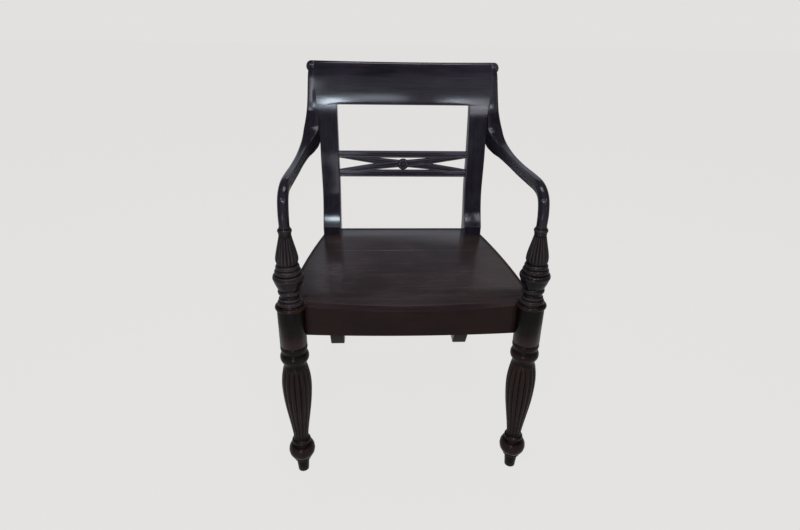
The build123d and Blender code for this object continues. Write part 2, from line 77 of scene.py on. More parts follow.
# shader maths on sockets
class Link:
    def __init__(self, tree, socket):
        self.tree = tree
        self.socket = socket

    def maths(self, operation, *others, clamp=False):
        node = self.tree.add("ShaderNodeMath", {"operation": operation, "use_clamp": clamp},
                             {i: v for i, v in enumerate((self, *others))})
        return node.out()

    def __add__(self, other):
        return self.maths("ADD", other)

    __radd__ = __add__

    def __mul__(self, other):
        return self.maths("MULTIPLY", other)

    __rmul__ = __mul__

    def __sub__(self, other):
        return self.maths("SUBTRACT", other)

    def __rsub__(self, other):
        return (self * -1) + other

    def clamped(self):
        return self.maths("ADD", 0.0, clamp=True)


class Added:
    def __init__(self, tree, node):
        self.tree = tree
        self.node = node

    def out(self, key=0):
        return Link(self.tree, self.node.outputs[key])


class Shader:
    def __init__(self, name, tree=None):
        if tree is None:
            self.material = bpy.data.materials.new(name)
            self.material.use_nodes = True
            tree = self.material.node_tree
        self.nodes = tree.nodes
        self.links = tree.links
        self.surface = self.nodes.get("Principled BSDF")

    def add(self, kind, settings=None, inputs=None):
        node = self.nodes.new(kind)
        for key, value in (settings or {}).items():
            if key == "stops":
                for i, (place, colour) in enumerate(value):
                    stop = node.color_ramp.elements[i] if i < 2 else node.color_ramp.elements.new(place)
                    stop.position = place
                    stop.color = (*colour, 1)
            else:
                setattr(node, key, value)
        for key, value in (inputs or {}).items():
            self.feed(node.inputs[key], value)
        return Added(self, node)

    def feed(self, socket, value):
        if isinstance(value, Link):
            self.links.new(value.socket, socket)
        else:
            socket.default_value = value

    def place(self, scale=(1, 1, 1)):
        coords = self.add("ShaderNodeTexCoord").out("Object")
        return self.add("ShaderNodeMapping", inputs={"Vector": coords, "Scale": scale}).out()

    def noise(self, where, scale, detail=2.0, roughness=0.5, distortion=0.0):
        return self.add("ShaderNodeTexNoise", inputs={"Vector": where, "Scale": scale, "Detail": detail,
                                                      "Roughness": roughness, "Distortion": distortion}).out(0)

    def ramp(self, value, stops):
        return self.add("ShaderNodeValToRGB", {"stops": stops}, {0: value}).out(0)

    def mix(self, factor, first, second):
        # inputs 6 and 7 and output 2 are the colours
        return self.add("ShaderNodeMix", {"data_type": "RGBA"}, {0: factor, 6: first, 7: second}).out(2)

    def bump(self, height, strength, distance):
        return self.add("ShaderNodeBump", inputs={"Height": height, "Strength": strength,
                                                  "Distance": distance}).out()


def rgb(red, green, blue):
    # a colour as it is seen, given from 0 to 255
    return tuple(((v / 255 + 0.055) / 1.055) ** 2.4 if v > 10 else v / 255 / 12.92 for v in (red, green, blue))


# finishes: two tones of grain, rubbed edges partly painted as highlight, roughness, depth of grain, gloss and
# contrast
woodFinishes = {
    "frame": {"dark": rgb(30, 26, 32), "light": rgb(55, 49, 58), "worn": rgb(104, 98, 106),
              "rough": 0.13, "grain": 0.25, "shine": 0.22, "contrast": 0.2},
    "arm": {"dark": rgb(28, 24, 30), "light": rgb(48, 43, 51), "worn": rgb(60, 54, 62),
            "rough": 0.13, "grain": 0.25, "shine": 0.22, "contrast": 0.2},
    "turned": {"dark": rgb(12, 6, 5), "light": rgb(38, 22, 17), "worn": rgb(70, 49, 43),
               "rough": 0.17, "grain": 0.6, "shine": 0.15, "contrast": 0.14},
    "support": {"dark": rgb(17, 12, 13), "light": rgb(43, 34, 35), "worn": rgb(80, 69, 69),
                "rough": 0.15, "grain": 0.4, "shine": 0.18, "contrast": 0.16},
    "rail": {"dark": rgb(12, 6, 5), "light": rgb(26, 13, 11), "worn": rgb(58, 40, 36),
             "rough": 0.2, "grain": 0.5, "shine": 0.12, "contrast": 0.12},
    "seat": {"dark": rgb(10, 6, 8), "light": rgb(58, 44, 44), "worn": rgb(84, 70, 68),
             "rough": 0.19, "grain": 0.8, "shine": 0.55, "contrast": 0.09},
    "raw": {"dark": rgb(86, 56, 38), "light": rgb(128, 90, 64), "worn": rgb(140, 104, 78),
            "rough": 0.7, "grain": 0.8, "shine": 0.22, "contrast": 0.2},
}
woodFinishes["upright"] = woodFinishes["frame"]
secondTints = {"rail": rgb(60, 50, 53), "upright": rgb(13, 7, 6)}       # where the attribute tint is set; on the rails it is painted light on their upward faces, on the uprights a darker, browner colour low down
woodPattern = {
    "grain": (9.0, 5.0, 0.62, 0.6),     # noise: scale, detail, roughness, distortion
    "pores": (60.0, 2.0, 0.6, 0.2),
    "cloud": (7.0, 3.0, 0.55),
    "fine": (320.0, 2.0, 0.6),
    "tone": (0.7, 0.5, 0.22),           # grain and cloud, less a level
    "middle": 0.42,         # tone where dark grain turns light
    "worn": (2.2, 0.25, 0.8),           # edge wear and painted highlight: relief, less a level, and cloud around its middle
    "wearAndHighlightShare": 0.55,
    # painted shade in hollows and grooves
    "hollow": 2.5,
    "hollowShadeShare": 0.7,
    "hollowShadeTone": 0.35,
    "tintTone": 0.4,        # dark grain of the second tint
    "rough": (0.08, 0.06, 0.2, 0.07),   # cloud, pores and hollows, less a level
    "height": (0.5, 0.35, 0.15),        # grain, pores and fine
    "bump": 0.4,
    "bumpDepth": 0.0006,
}
grainStretch = {"x": (1, 14, 14), "y": (14, 1, 14), "z": (14, 14, 1)}


def woodMaterial(finish, along):
    s, p = woodFinishes[finish], woodPattern
    shader = Shader(f"{finish}Wood{along.upper()}")
    where = shader.place(scale=grainStretch[along])
    even = shader.place()
    grain = shader.noise(where, *p["grain"])
    pores = shader.noise(where, *p["pores"])
    cloud = shader.noise(even, *p["cloud"])
    fine = shader.noise(even, *p["fine"])
    relief = shader.add("ShaderNodeAttribute", {"attribute_name": "relief"}).out("Fac")
    onRelief, wearAndHighlightLevel, onCloud = p["worn"]
    # convex edges: partly real wear, partly painted highlight, broken up by cloud
    worn = (relief * onRelief - wearAndHighlightLevel + (cloud - 0.5) * onCloud).clamped()
    # mask of hollows, for the painted shade there and for roughness
    hollow = (relief * -p["hollow"]).clamped()
    ofGrain, ofCloud, toneLevel = p["tone"]
    tone = (grain * ofGrain + cloud * ofCloud - toneLevel).clamped()
    mask = shader.ramp(tone, [(p["middle"] - s["contrast"], (0, 0, 0)), (p["middle"] + s["contrast"], (1, 1, 1))])
    colour = shader.mix(mask, (*s["dark"], 1), (*s["light"], 1))
    if finish in secondTints:
        share = shader.add("ShaderNodeAttribute", {"attribute_name": "tint"}).out("Fac")
        light = secondTints[finish]
        dark = [v * p["tintTone"] for v in light]
        colour = shader.mix(share, colour, shader.mix(mask, (*dark, 1), (*light, 1)))
    # rubbed colour on convex edges, partly wear and partly painted highlight
    colour = shader.mix(worn * p["wearAndHighlightShare"], colour, (*s["worn"], 1))
    # painted shade: hollows and grooves darkened
    hollowShadeColour = [v * p["hollowShadeTone"] for v in s["dark"]]
    colour = shader.mix(hollow * p["hollowShadeShare"], colour, (*hollowShadeColour, 1))
    shader.feed(shader.surface.inputs["Base Color"], colour)
    ofCloud, ofPores, ofHollow, roughLevel = p["rough"]
    rough = cloud * ofCloud + pores * ofPores + hollow * ofHollow + (s["rough"] - roughLevel)
    shader.feed(shader.surface.inputs["Roughness"], rough.clamped())
    shader.surface.inputs["Specular IOR Level"].default_value = s["shine"]
    ofGrain, ofPores, ofFine = p["height"]
    height = grain * ofGrain + pores * ofPores + fine * ofFine
    shader.feed(shader.surface.inputs["Normal"], shader.bump(height, s["grain"] * p["bump"], p["bumpDepth"]))
    return shader.material


steelFinish = {"dark": rgb(120, 117, 112), "light": rgb(160, 156, 150), "cloud": (300.0, 2.0), "rough": (0.2, 0.3)}


def steelMaterial(s):
    shader = Shader("screwSteel")
    cloud = shader.noise(shader.place(), *s["cloud"])
    shader.feed(shader.surface.inputs["Base Color"], shader.mix(cloud, (*s["dark"], 1), (*s["light"], 1)))
    ofCloud, least = s["rough"]
    shader.feed(shader.surface.inputs["Roughness"], cloud * ofCloud + least)
    shader.surface.inputs["Metallic"].default_value = 1
    return shader.material


woods = {}


def wood(finish, along):
    if (finish, along) not in woods:
        woods[finish, along] = woodMaterial(finish, along)
    return woods[finish, along]


# finish of each node and the way its grain runs; the longest fitting name counts
nodeFinish = {
    "front_leg": ("turned", "z"), "arm_support": ("support", "z"), "arm": ("arm", "y"),
    "back_leg": ("upright", "z"), "crest_rail": ("frame", "x"), "splat_rail": ("frame", "x"),
    "splat_diagonal": ("frame", "x"), "splat_rosette": ("frame", "x"), "front_rail": ("rail", "x"),
    "side_rail": ("rail", "y"), "back_rail": ("rail", "x"), "seat_board": ("seat", "x"),
    "seat_bearer": ("raw", "y"), "corner_block": ("raw", "x"), "arm_dowels": ("raw", "x"),
}


def woodOf(node):
    key = max((k for k in nodeFinish if node.startswith(k)), key=len)
    return wood(*nodeFinish[key])


for name, node in nodes.items():
    if name == "seat_screws":
        material = steelMaterial(steelFinish)
    else:
        material = woodOf(name)
    node.data.materials.clear()
    node.data.materials.append(material)
print("finishes made")

# measures shared with the solids, in millimetres behind the front posts' axis
postX, postY = 254.9, -277.75


def spot(x, depth, z):
    return Vector((x, postY + depth, z)) * mm


def edit(piece):
    bpy.ops.object.select_all(action="DESELECT")
    piece.select_set(True)
    bpy.context.view_layer.objects.active = piece
    bpy.ops.object.mode_set(mode="EDIT")
    bpy.ops.mesh.select_all(action="SELECT")


def markRelief(piece, gain=1.2, least=0.12):
    # convex edges above 0, hollows below 0, read by the wood's rubbed edges with painted highlight and by its
    # painted shade in hollows; angles in radians
    mesh = bmesh.new()
    mesh.from_mesh(piece.data)
    values = []
    for v in mesh.verts:
        angles = [e.calc_face_angle_signed(0) for e in v.link_edges if len(e.link_faces) == 2]
        strongest = max(angles, key=abs, default=0)
        values.append(max(-1, min(1, strongest * gain)) if abs(strongest) > least else 0)
    mesh.free()
    layer = piece.data.attributes.new("relief", "FLOAT", "POINT")
    layer.data.foreach_set("value", values)


def markTint(piece, share):
    # share is a function of a face's centre and normal
    layer = piece.data.attributes.new("tint", "FLOAT", "FACE")
    layer.data.foreach_set("value", [share(face.center, face.normal) for face in piece.data.polygons])


def complete(piece, replaced, smooth=40):
    edit(piece)
    bpy.ops.mesh.remove_doubles(threshold=2e-6)
    bpy.ops.mesh.normals_make_consistent(inside=False)
    bpy.ops.object.mode_set(mode="OBJECT")
    markRelief(piece)
    bpy.ops.object.shade_smooth_by_angle(angle=math.radians(smooth))
    piece.data.materials.clear()
    piece.data.materials.append(woodOf(replaced[0]))
    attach(piece, "root")
    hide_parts(*replaced)


def growRings(name, rings):
    # a circle is drawn out ring by ring, each ring is shaped, and both ends are closed
    bpy.ops.object.select_all(action="DESELECT")
    bpy.ops.mesh.primitive_circle_add(vertices=len(rings[0]), radius=mm)
    piece = bpy.context.object
    piece.name = name
    bpy.ops.object.mode_set(mode="EDIT")
    bpy.ops.mesh.select_all(action="SELECT")
    mesh = bmesh.from_edit_mesh(piece.data)
    place = mesh.verts.layers.int.new("place")
    drawn = mesh.verts.layers.int.new("drawn")
    for i, v in enumerate(mesh.verts):
        v[place] = i
        v.co = rings[0][i]
    for number, ring in enumerate(rings[1:], 1):
        bpy.ops.mesh.extrude_region_move(TRANSFORM_OT_translate={"value": (0, 0, mm)})
        mesh = bmesh.from_edit_mesh(piece.data)
        place = mesh.verts.layers.int["place"]
        drawn = mesh.verts.layers.int["drawn"]
        for v in mesh.verts:
            if v.select:
                v.co = ring[v[place]]
                v[drawn] = number
    bpy.ops.mesh.edge_face_add()
    bpy.ops.mesh.select_all(action="DESELECT")
    for v in mesh.verts:
        v.select = v[drawn] == 0
    mesh.select_flush(True)
    bpy.ops.mesh.edge_face_add()
    bpy.ops.object.mode_set(mode="OBJECT")
    return piece


def mirrored(piece, name):
    copy = piece.copy()
    copy.data = piece.data.copy()
    copy.name = name
    bpy.context.collection.objects.link(copy)
    edit(copy)
    bpy.ops.transform.resize(value=(-1, 1, 1), center_override=(0, 0, 0))
    bpy.ops.mesh.normals_make_consistent(inside=False)
    bpy.ops.object.mode_set(mode="OBJECT")
    return copy


def joined(pieces, name):
    bpy.ops.object.select_all(action="DESELECT")
    for piece in pieces:
        piece.select_set(True)
    bpy.context.view_layer.objects.active = pieces[0]
    bpy.ops.object.join()
    pieces[0].name = name
    return pieces[0]


def eased(piece, width, angle=35, segments=2):
    # bevels the edges that turn by more than the angle; width in millimetres
    bevel = piece.modifiers.new("ease", "BEVEL")
    bevel.width = width * mm
    bevel.segments = segments
    bevel.limit_method = "ANGLE"
    bevel.angle_limit = math.radians(angle)
    bevel.use_clamp_overlap = True
    bpy.ops.object.select_all(action="DESELECT")
    piece.select_set(True)
    bpy.context.view_layer.objects.active = piece
    bpy.ops.object.modifier_apply(modifier="ease")


def arcPoints(first, via, last, count):
    # points after the first on the circle through three points
    (ax, ay), (bx, by), (cx, cy) = first, via, last
    d = 2 * (ax * (by - cy) + bx * (cy - ay) + cx * (ay - by))
    ux = ((ax * ax + ay * ay) * (by - cy) + (bx * bx + by * by) * (cy - ay) + (cx * cx + cy * cy) * (ay - by)) / d
    uy = ((ax * ax + ay * ay) * (cx - bx) + (bx * bx + by * by) * (ax - cx) + (cx * cx + cy * cy) * (bx - ax)) / d
    radius = math.hypot(ax - ux, ay - uy)
    start, middle, end = (math.atan2(y - uy, x - ux) for x, y in (first, via, last))
    sweep = (end - start) % (2 * math.pi)
    if (middle - start) % (2 * math.pi) > sweep:
        sweep -= 2 * math.pi
    return [(ux + radius * math.cos(start + sweep * i / count), uy + radius * math.sin(start + sweep * i / count))
            for i in range(1, count + 1)]


def outline(start, steps, fineness=6):
    points = [start]
    for step in steps:
        if len(step) == 1:
            points.append(step[0])
        else:
            points += arcPoints(points[-1], step[0], step[1], fineness)
    return points


def straight(table, where):
    # straight lines through rows of (where, value)
    for (a, va), (b, vb) in zip(table, table[1:]):
        if where <= b:
            return va + (vb - va) * (where - a) / (b - a)
    return table[-1][1]


def between(table, where):
    # smooth curve through rows of (where, values...), Catmull-Rom
    rows = sorted(table)
    k = max(i for i in range(len(rows) - 1) if rows[i][0] <= where or i == 0)
    a, b = rows[k], rows[k + 1]
    before = rows[k - 1] if k else a
    after = rows[k + 2] if k + 2 < len(rows) else b
    span = b[0] - a[0]
    t = min(max((where - a[0]) / span, 0), 1)
    result = []
    for j in range(1, len(a)):
        slopeA = (b[j] - before[j]) / (b[0] - before[0]) * span
        slopeB = (after[j] - a[j]) / (after[0] - a[0]) * span
        result.append((2 * t**3 - 3 * t**2 + 1) * a[j] + (t**3 - 2 * t**2 + t) * slopeA
                      + (3 * t**2 - 2 * t**3) * b[j] + (t**3 - t**2) * slopeB)
    return result


def turnedRings(points, corners, reeds):
    # points are (radius, height, reed depth)
    rings = []
    for radius, height, depth in points:
        ring = []
        for i in range(corners):
            share = (i * reeds / corners) % 1
            r = radius * (1 - depth * (2 * share - 1) ** 2)
            turn = 2 * math.pi * i / corners
            ring.append(spot(postX + r * math.cos(turn), r * math.sin(turn), height))
        rings.append(ring)
    return rings


# turned and reeded front legs: (radius, height) points, pairs are arcs through the first to the second
legShape = {
    "sole": 11.5,
    "foot": ((12.5, 1), [[(15, 34)], [(19, 36.5)], [(20.2, 39.5), (19.2, 42.5)], [(30.5, 64), (20.5, 86.5)],
                         [(22, 92), (18, 98)]]),
    "shaft": ((98, 16.6), (112, 17.6), (136, 20.6), (166, 25), (200, 29.6), (232, 32.3), (258, 32.8), (280, 31),
              (298, 27.8), (306, 26.2)),
    "block": ((25.6, 306), [[(25, 312), (27, 318.5)], [(28, 319)], [(31.4, 330), (27.5, 341)], [(26.8, 344.5)],
                            [(29.3, 352), (28.2, 360)], [(29, 361)], [(29, 449.2)], [(31.6, 450.5)],
                            [(32.5, 454), (30, 458)], [(27.6, 459.6), (26.5, 462.5)]]),
    "top": 462.5,
    "reeds": 16,
    "reedDepth": 0.095,
    "reedStep": 6,          # between rings along the reeds
    "reedFade": 12,         # length over which the reeds run out
    "corners": 128,
}
supportShape = {
    "cup": ((26, 462.5), [[(25.2, 467), (21.5, 469.5)], [(20.8, 470)], [(23, 473), (20.8, 476)],
                          [(19.8, 479.5), (21.2, 483.5)], [(24, 489), (21.8, 494.5)], [(26.8, 505), (31, 518)],
                          [(31.8, 519)], [(31.8, 523.5), (29.5, 528)], [(26, 529.5)], [(27.3, 534.5), (24.2, 540)],
                          [(23.4, 540.5)], [(24.3, 545), (20.5, 550.5)]]),
    "shaft": ((551, 20.6), (557, 22.8), (564, 23), (577, 20.6), (592, 17), (605, 13.9), (613, 12.3)),
    "bead": ((12.2, 613), [[(12.9, 615), (12, 617)], [(14.4, 621.5), (11.4, 626.5)], [(11.2, 629)]]),
    "top": 629,
    "reeds": 18,
    "reedDepth": 0.1,
    "reedStep": 3,
    "reedFade": 6,
    "corners": 144,
}
poleRadius = 0.1            # where a turned end closes


def plain(points):
    return [(radius, height, 0) for radius, height in points]


def shaftPoints(s):
    low, high = s["shaft"][0][0], s["shaft"][-1][0]
    count = round((high - low) / s["reedStep"])
    points = []
    for i in range(count + 1):
        height = low + (high - low) * i / count
        near = min(height - low, high - height)
        depth = s["reedDepth"] * min(1, near / s["reedFade"]) ** 0.5
        points.append((between(s["shaft"], height)[0], height, depth))
    return points[1:-1]


def addTurned(s, name, node, points):
    right = growRings(f"{name}Right", turnedRings(points, s["corners"], s["reeds"]))
    left = mirrored(right, f"{name}Left")
    complete(right, [f"{node}_right"])
    complete(left, [f"{node}_left"])


legPoints = (plain([(poleRadius, 0), (legShape["sole"], 0)] + outline(*legShape["foot"])) + shaftPoints(legShape)
             + plain(outline(*legShape["block"]) + [(poleRadius, legShape["top"])]))
addTurned(legShape, "frontLeg", "front_leg", legPoints)
supportPoints = (plain([(poleRadius, legShape["top"])] + outline(*supportShape["cup"])) + shaftPoints(supportShape)
                 + plain(outline(*supportShape["bead"]) + [(poleRadius, supportShape["top"])]))
addTurned(supportShape, "armSupport", "arm_support", supportPoints)
print("turned posts made")

# sabre back legs with the swept uprights above them
backLegShape = {
    "inner": ((0, 184.5), (388.5, 174.5), (600, 175.5), (720, 178), (795, 180)),
    "outer": ((0, 230), (388.5, 224), (449, 223.5), (560, 224), (660, 226), (704, 226.5), (740, 228), (770, 229.8),
              (795, 232.2)),
    "foot": ((0, 4.2), (0.5, 2.6), (1.6, 1.2), (3.2, 0.4), (5, 0)),     # height and inset of the worn foot
    "cornerLow": 2.8,
    "cornerHigh": 0.8,      # near the crest, where both surfaces run on
    "cornerFrom": 640,
    "cornerOver": 90,
    "top": 795,
    "step": 9.0,
    "railLow": 388.5,       # height where the sabre begins in front
    "sabreTop": 400,        # and behind
    "kneeFoot": (472, 455), # heights where the upright begins in front and behind
    "kneeRing": 0.8,        # rings close above and below the upright's foot
    "kneeTop": 600,
    "seatFront": 420,
    "seatBack": 472,
    "sabreFront": (1073.6, 388.5, 653.6),       # circles: depth and height of the centre, radius
    "sabreBack": (1219.7, 400, 747.7),
    "kneeFront": (235.2, 600, 224.8),
    "kneeBack": ((472, 455), (472, 515), (493, 545), (493, 600)),   # control points of a curve: depth, height
    "sweepFront": (1060, 600, 600),             # the crest's face follows it too
    "sweepBack": (1186, 600, 693),
    "tintFrom": 0.43,       # metres; below it the legs turn darker and browner
    "tintOver": 0.05,
}


def arcDepth(circle, z, inset=0, side=-1):
    # depth of a circle at a height, on its front side or, with 1, on its back side
    depth, height, radius = circle
    return depth + side * math.sqrt((radius - inset) ** 2 - (z - height) ** 2)


def legFront(s, z):
    if z >= s["kneeTop"]:
        return arcDepth(s["sweepFront"], z)
    if z >= s["kneeFoot"][0]:
        return arcDepth(s["kneeFront"], z, side=1)
    if z >= s["railLow"]:
        return s["seatFront"]
    return arcDepth(s["sabreFront"], z)


def curvePoint(controls, t, axis):
    a, b, c, d = (point[axis] for point in controls)
    return (1 - t) ** 3 * a + 3 * (1 - t) ** 2 * t * b + 3 * (1 - t) * t * t * c + t**3 * d


def legBack(s, z):
    if z <= s["sabreTop"]:
        return arcDepth(s["sabreBack"], z)
    if z <= s["kneeFoot"][1]:
        return s["seatBack"]
    if z >= s["kneeTop"]:
        return arcDepth(s["sweepBack"], z)
    low, high = 0, 1        # the place on the curve is halved until its height fits
    for _ in range(30):
        t = (low + high) / 2
        low, high = (t, high) if curvePoint(s["kneeBack"], t, 1) < z else (low, t)
    return curvePoint(s["kneeBack"], t, 0)


def roundedBox(x0, x1, d0, d1, corner, steps=4, support=0.6):
    # a support point beside each corner keeps the flats flat in the shading
    points = []
    for cx, cd, start in ((x1 - corner, d1 - corner, 0), (x0 + corner, d1 - corner, 90),
                          (x0 + corner, d0 + corner, 180), (x1 - corner, d0 + corner, 270)):
        arc = []
        for i in range(steps + 1):
            turn = math.radians(start + 90 * i / steps)
            arc.append((cx + corner * math.cos(turn), cd + corner * math.sin(turn)))
        out = math.radians(start)
        along = (math.sin(out) * support, -math.cos(out) * support)
        after = (-math.cos(out) * support, -math.sin(out) * support)
        points += [(arc[0][0] + along[0], arc[0][1] + along[1]), *arc,
                   (arc[-1][0] + after[0], arc[-1][1] + after[1])]
    return points


def backLegRings(s):
    knee = s["kneeFoot"][0]
    heights = {z for z, _ in s["foot"]} | {knee - s["kneeRing"], knee, knee + s["kneeRing"], s["railLow"], s["top"]}
    heights |= {s["step"] * i for i in range(1, int(s["top"] / s["step"]))}
    rings = []
    for z in sorted(heights):
        blend = min(max((z - s["cornerFrom"]) / s["cornerOver"], 0), 1)
        corner = s["cornerLow"] + (s["cornerHigh"] - s["cornerLow"]) * blend
        inset = dict(s["foot"]).get(z, 0)
        section = roundedBox(straight(s["inner"], z) + inset, straight(s["outer"], z) - inset,
                             legFront(s, z) + inset, legBack(s, z) - inset, corner)
        rings.append([spot(x, d, z) for x, d in section])
    return rings


backLegRight = growRings("backLegRight", backLegRings(backLegShape))
backLegLeft = mirrored(backLegRight, "backLegLeft")
complete(backLegRight, ["back_leg_right"])
complete(backLegLeft, ["back_leg_left"])


def lowerTint(centre, normal):
    return min(max((backLegShape["tintFrom"] - centre.z) / backLegShape["tintOver"], 0), 1)


for piece in (backLegRight, backLegLeft):
    markTint(piece, lowerTint)
print("back legs made")

# crest rail: concave face that rolls over backwards
crestShape = {
    "low": 795.0,           # lower edge
    "high": 868,            # top of its straight ends, below the roll
    "half": 241.0,          # half width there
    "endCurve": (232.2, 0.1634, -0.000587),     # half width of the ends above the lower edge
    "columns": (0, 30, 60, 90, 120, 150, 172, 179, 205, 222),
    "endSteps": 10,
    "arris": 3.0,           # rounding of the lower front edge between the uprights
    "arrisEnd": 179,
    "arrisFade": 7,
    "arrisRows": ((0, 1), (0.12, 0.5), (0.4, 0.15)),
    "faceSteps": 23,
    "rollZ": 887.0,
    "rollR": 15.0,
    "waist": 1.8,           # how much thinner the roll is in the middle
    "rollUnder": 0.36,      # how far the roll turns under at the back, in radians
    "rollSteps": 30,
    "rollCorners": 48,
    "rollStraight": 249.0,  # half lengths to the end of the straight roll and of its dome
    "rollEnd": 262.5,
    "domeSteps": 10,
    "domePole": 0.05,
    "neck": (540.3, 862),   # depth and height where the roll runs into the back
    "neckLean": 0.25,
    "neckHollow": 0.6,
    "neckSteps": 4,
    "backFoot": 521,
    "backLean": 0.2718,
    "backBow": 0.00025,
    "backSteps": 8,
}


def crestWidth(z):
    start, lean, bow = crestShape["endCurve"]
    rise = z - crestShape["low"]
    return start + lean * rise + bow * rise * rise


def crestProfile(s, x, low):
    # outline from front to back at one distance from the middle, from the lower edge over the roll
    sweep = backLegShape["sweepFront"]
    centreD, centreZ, radius = sweep
    rounding = s["arris"] * min(max((s["arrisEnd"] - abs(x)) / s["arrisFade"], 0), 1)
    r = s["rollR"] - s["waist"] * (1 - (x / s["half"]) ** 2)
    rollD = arcDepth(sweep, s["rollZ"], inset=r)
    reach = radius / (radius - r)
    tangent = (centreD + (rollD - centreD) * reach, centreZ + (s["rollZ"] - centreZ) * reach)
    points = []
    for rise, back in s["arrisRows"]:
        z = low + rise * s["arris"]
        points.append((arcDepth(sweep, z) + back * rounding, z))
    for i in range(s["faceSteps"]):
        z = low + s["arris"] + (tangent[1] - low - s["arris"]) * i / s["faceSteps"]
        points.append((arcDepth(sweep, z), z))
    start = math.atan2(tangent[1] - s["rollZ"], tangent[0] - rollD)
    end = -math.pi / 2 - s["rollUnder"]
    for i in range(s["rollSteps"] + 1):
        turn = start + (end - start) * i / s["rollSteps"]
        points.append((rollD + r * math.cos(turn), s["rollZ"] + r * math.sin(turn)))
    neckD, neckZ = s["neck"]
    backTop = max(low + 0.5, neckZ)
    lastD, lastZ = points[-1]
    points += arcPoints((lastD, lastZ), ((lastD + neckD) / 2 - s["neckHollow"], (lastZ + backTop) / 2),
                        (neckD + (backTop - neckZ) * s["neckLean"], backTop), s["neckSteps"])
    for i in range(1, s["backSteps"] + 1):
        z = backTop + (low - backTop) * i / s["backSteps"]
        rise = z - s["low"]
        points.append((s["backFoot"] + rise * s["backLean"] + rise * (z - neckZ) * s["backBow"], z))
    return points


def crestRings(s):
    height = s["high"] - s["low"]
    ends = [s["low"] + height * i / s["endSteps"] for i in range(s["endSteps"] + 1)]
    right = [(x, s["low"]) for x in s["columns"]] + [(crestWidth(z), z) for z in ends]
    rows = [(-x, z) for x, z in reversed(right[1:])] + right
    return [[spot(x, d, h) for d, h in crestProfile(s, x, z)] for x, z in rows]


def rollEndRings(s):
    r = s["rollR"]
    rollD = arcDepth(backLegShape["sweepFront"], s["rollZ"], inset=r)
    rows = [(s["half"] - 1, r), (s["rollStraight"] - 4, r), (s["rollStraight"], r)]
    span = s["rollEnd"] - s["rollStraight"]
    for i in range(1, s["domeSteps"] + 1):
        turn = math.pi / 2 * i / s["domeSteps"]
        rows.append((s["rollStraight"] + span * math.sin(turn), max(r * math.cos(turn), s["domePole"])))
    turns = [2 * math.pi * i / s["rollCorners"] for i in range(s["rollCorners"])]
    return [[spot(x, rollD + radius * math.cos(turn), s["rollZ"] + radius * math.sin(turn)) for turn in turns]
            for x, radius in rows]


crest = growRings("crestBody", crestRings(crestShape))
rollRight = growRings("rollRight", rollEndRings(crestShape))
rollLeft = mirrored(rollRight, "rollLeft")
crest = joined([crest, rollRight, rollLeft], "crestRail")
complete(crest, ["crest_rail"])
print("crest made")

# swept arms
armShape = {
    "stations": (           # depth, height, distance from the middle, width, thickness, roundness, reeding
        (547, 888, 244.5, 18, 13, 0, 0), (537, 872, 245, 24, 18, 0, 0), (523, 840, 242.5, 31, 20.5, 0, 0),
        (508.5, 800, 242.5, 33.5, 25.5, 0, 0), (498.6, 763.6, 244.2, 36, 38, 0, 0),
        (470.6, 721.4, 246.7, 41, 50.7, 0, 0.3), (430.6, 703.4, 252.5, 31.5, 43.9, 0, 0.9),
        (380, 696, 257.3, 23.5, 34, 0, 1), (300, 691.6, 259.5, 18.5, 27.3, 0, 1),
        (200, 692, 259, 18, 25, 0, 1), (110, 696, 257.7, 19, 25, 0.1, 0.6), (48, 696.5, 256.4, 20.5, 25, 0.5, 0.2),
        (13, 684, 255.4, 22, 24.5, 0.9, 0), (0, 657, 254.9, 22, 23, 1, 0), (0, 629, 254.9, 21, 21, 1, 0),
    ),
    "between": 5,           # rings from station to station
    "round": 5.5,           # outer and lower edges
    "arris": 2.2,           # edge between the top and the inner side
    "crown": 0.02,          # rise of the top, as a share of the width
    "reedDeep": 2.0,
    "reeds": 3,
    "reedSteps": 6,
    "reedSharp": 0.6,
    "cornerSteps": (6, 3),  # of round edges and of arrises
    "support": 0.6,         # keeps the flats flat in the shading
    "gap": 0.1,             # to the back that the arms lie against
}


def quarter(x, y, radius, first, steps):
    # a rounded corner that starts at an angle in degrees
    turns = [math.radians(first + 90 * i / steps) for i in range(steps + 1)]
    return [(x + radius * math.cos(turn), y + radius * math.sin(turn)) for turn in turns]


def armSection(s, width, thickness, reeding):
    # outline across the arm in millimetres, from the outer side over the top; the inner side is the negative one
    w, t = width / 2, thickness / 2
    big = min(s["round"], w - 0.5, t - 0.5)
    small = min(s["arris"], big)
    rise, support = s["crown"] * width, s["support"]
    bigSteps, smallSteps = s["cornerSteps"]
    top = ([(w, t - big - support)] + quarter(w - big, t - big, big, 0, bigSteps)
           + [(w - big - support, t), (w * 0.2, t), (-w * 0.3, t), (small - w + support, t)]
           + quarter(small - w, t - small, small, 90, smallSteps))
    points = [(x, y + rise * (1 - (x / w) ** 2) - rise if y > 0 else y) for x, y in top]
    high, low = t - small - rise * 0.3, small - t
    for reed in range(s["reeds"]):
        for i in range(s["reedSteps"] + 1):
            share = i / s["reedSteps"]
            y = high + (low - high) * (reed + share) / s["reeds"]
            points.append((-w + reeding * s["reedDeep"] * (1 - math.sin(math.pi * share) ** s["reedSharp"]), y))
    return (points + quarter(small - w, small - t, small, 180, smallSteps)
            + [(small - w + support, -t), (w - big - support, -t)]
            + quarter(w - big, big - t, big, 270, bigSteps) + [(w, big - t + support)])


def backHalf(z):
    # half the width of the back at a height, which the arms lie against
    if z <= backLegShape["kneeTop"]:
        return 0
    if z <= crestShape["low"]:
        return straight(backLegShape["outer"], z)
    return crestWidth(z) if z < crestShape["high"] else crestShape["half"]


